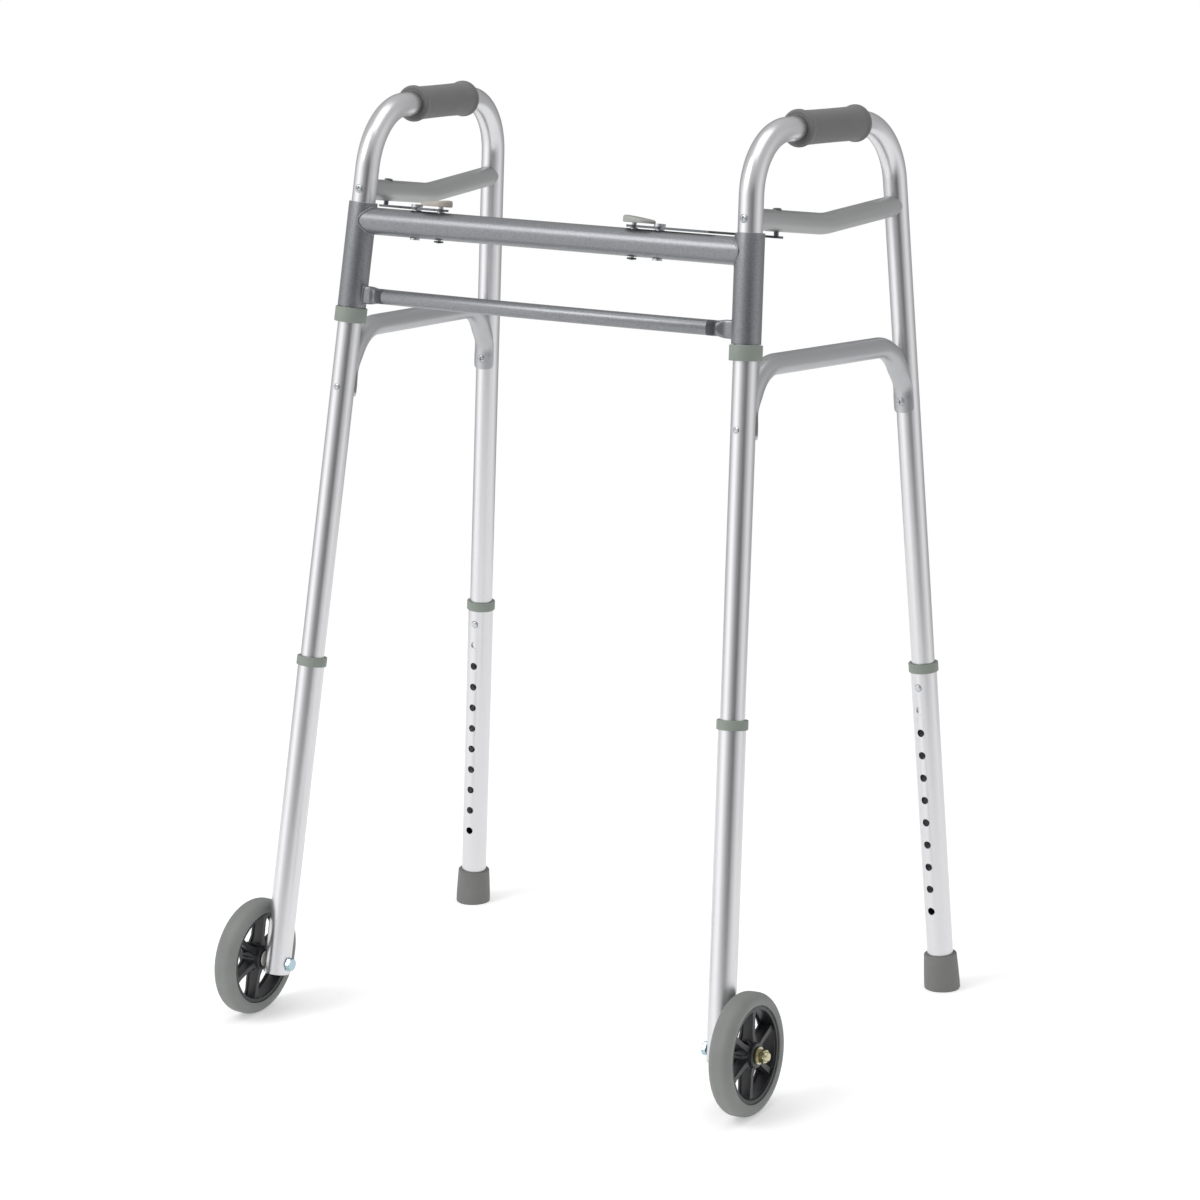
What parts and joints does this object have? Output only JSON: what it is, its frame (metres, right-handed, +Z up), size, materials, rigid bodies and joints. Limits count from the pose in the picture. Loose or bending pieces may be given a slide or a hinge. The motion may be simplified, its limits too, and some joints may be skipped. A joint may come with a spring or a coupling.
{
  "type": "folding walking frame",
  "caption": "Folding walking frame with two fold-in side frames, thumb-released fold locks, push-button height legs, front wheels and rear rubber tips.",
  "frame": {"origin": "middle of the bounding box on the floor", "axes": "+Z up, -Y to the front where the wheels are, +Y to the user, +X to the user's left as they face the wheels"},
  "size_m": [0.6604, 0.5245, 0.9881],
  "materials": {
    "front_paint": "grey hammered powder coat",
    "tube": "bright anodised",
    "rail": "matte anodised",
    "brace": "satin anodised",
    "zinc": "zinc plated",
    "dark_steel": "black zinc",
    "grip": "soft moulded grip",
    "collar": "moulded plastic",
    "bush": "acetal",
    "paddle": "moulded plastic",
    "tip": "grey rubber",
    "hub": "black nylon",
    "tread": "grey rubber"
  },
  "bodies": {
    "front_frame": {"upper_cross_tube": "front_paint", "lower_cross_tube": "front_paint", "sleeve_left": "front_paint", "sleeve_right": "front_paint", "bushes_left": "bush", "bushes_right": "bush", "link_pivot_left": "zinc", "link_pivot_right": "zinc"},
    "side_left": {"side_tube_left": "tube", "side_rail_left": "rail", "lower_brace_left": "brace", "fasteners_left": "zinc", "link_stud_left": "dark_steel", "hand_grip_left": "grip", "sleeve_collar_left": "collar", "snap_clips_left": "dark_steel"},
    "link_left": {"lock_link_left": "dark_steel"},
    "release_left": {"lock_pin_left": "zinc", "release_paddle_left": "paddle", "pin_clip_left": "dark_steel", "lock_spring_left": "zinc"},
    "front_button_body_left": {"front_button_left": "zinc"},
    "rear_button_body_left": {"rear_button_left": "zinc"},
    "front_leg_left": {"front_extension_left": "tube", "front_ring_left": "collar", "axle_bolt_left": "zinc", "wheel_bush_left": "bush", "axle_nut_left": "zinc"},
    "rear_leg_left": {"rear_extension_left": "tube", "rear_ring_left": "collar", "rubber_tip_left": "tip"},
    "wheel_left": {"wheel_hub_left": "hub", "tyre_left": "tread"},
    "side_right": {"side_tube_right": "tube", "side_rail_right": "rail", "lower_brace_right": "brace", "fasteners_right": "zinc", "link_stud_right": "dark_steel", "hand_grip_right": "grip", "sleeve_collar_right": "collar", "snap_clips_right": "dark_steel"},
    "link_right": {"lock_link_right": "dark_steel"},
    "release_right": {"lock_pin_right": "zinc", "release_paddle_right": "paddle", "pin_clip_right": "dark_steel", "lock_spring_right": "zinc"},
    "front_button_body_right": {"front_button_right": "zinc"},
    "rear_button_body_right": {"rear_button_right": "zinc"},
    "front_leg_right": {"front_extension_right": "tube", "front_ring_right": "collar", "axle_bolt_right": "zinc", "wheel_bush_right": "bush", "axle_nut_right": "zinc"},
    "rear_leg_right": {"rear_extension_right": "tube", "rear_ring_right": "collar", "rubber_tip_right": "tip"},
    "wheel_right": {"wheel_hub_right": "hub", "tyre_right": "tread"}
  },
  "joints": [
    {"name": "fold_right", "type": "hinge", "parent": "front_frame", "child": "side_right", "pos_m": [0.23588, -0.07348, 0.82027], "axis": [-0.0506, 0.1631, 0.9853], "range_deg": [0, 82]},
    {"name": "link_turn_right", "type": "hinge", "parent": "front_frame", "child": "link_right", "pos_m": [0.12904, -0.065, 0.87152], "axis": [0, 0.1633, 0.9866], "range_deg": [0, 8.2]},
    {"name": "press_right", "type": "slide", "parent": "front_frame", "child": "release_right", "axis": [0, -0.1633, -0.9866], "range_m": [0, 0.002], "stiffness_N_per_m": 1500, "springref_m": -0.002},
    {"name": "front_height_right", "type": "slide", "parent": "side_right", "child": "front_leg_right", "axis": [-0.0506, 0.1631, 0.9853], "range_m": [0, 0.1524]},
    {"name": "rear_height_right", "type": "slide", "parent": "side_right", "child": "rear_leg_right", "axis": [-0.0642, -0.026, 0.9976], "range_m": [0, 0.1524]},
    {"name": "front_button_press_right", "type": "slide", "parent": "side_right", "child": "front_button_body_right", "axis": [-0.0766, -0.9843, 0.159], "range_m": [0, 0.0044], "stiffness_N_per_m": 600, "springref_m": -0.004},
    {"name": "rear_button_press_right", "type": "slide", "parent": "side_right", "child": "rear_button_body_right", "axis": [0.0657, 0.9974, 0.0302], "range_m": [0, 0.0044], "stiffness_N_per_m": 600, "springref_m": -0.004},
    {"name": "roll_right", "type": "hinge", "parent": "front_leg_right", "child": "wheel_right", "pos_m": [0.30473, -0.19872, 0.06375], "axis": [0.9987, 0.0083, 0.0499], "continuous": true},
    {"name": "fold_left", "type": "hinge", "parent": "front_frame", "child": "side_left", "pos_m": [-0.23588, -0.07348, 0.82027], "axis": [-0.0506, -0.1631, -0.9853], "range_deg": [0, 62]},
    {"name": "link_turn_left", "type": "hinge", "parent": "front_frame", "child": "link_left", "pos_m": [-0.16503, -0.065, 0.87152], "axis": [0, -0.1633, -0.9866], "range_deg": [0, 6.2]},
    {"name": "press_left", "type": "slide", "parent": "front_frame", "child": "release_left", "axis": [0, -0.1633, -0.9866], "range_m": [0, 0.002], "stiffness_N_per_m": 1500, "springref_m": -0.002},
    {"name": "front_height_left", "type": "slide", "parent": "side_left", "child": "front_leg_left", "axis": [0.0506, 0.1631, 0.9853], "range_m": [0, 0.1524]},
    {"name": "rear_height_left", "type": "slide", "parent": "side_left", "child": "rear_leg_left", "axis": [0.0642, -0.026, 0.9976], "range_m": [0, 0.1524]},
    {"name": "front_button_press_left", "type": "slide", "parent": "side_left", "child": "front_button_body_left", "axis": [0.0766, -0.9843, 0.159], "range_m": [0, 0.0044], "stiffness_N_per_m": 600, "springref_m": -0.004},
    {"name": "rear_button_press_left", "type": "slide", "parent": "side_left", "child": "rear_button_body_left", "axis": [-0.0657, 0.9974, 0.0302], "range_m": [0, 0.0044], "stiffness_N_per_m": 600, "springref_m": -0.004},
    {"name": "roll_left", "type": "hinge", "parent": "front_leg_left", "child": "wheel_left", "pos_m": [-0.30473, -0.19872, 0.06375], "axis": [0.9987, -0.0083, -0.0499], "continuous": true}
  ],
  "couplings": [
    {"joint": "link_turn_right", "follows": "fold_right", "ratio": 0.1},
    {"joint": "link_turn_left", "follows": "fold_left", "ratio": 0.1}
  ]
}
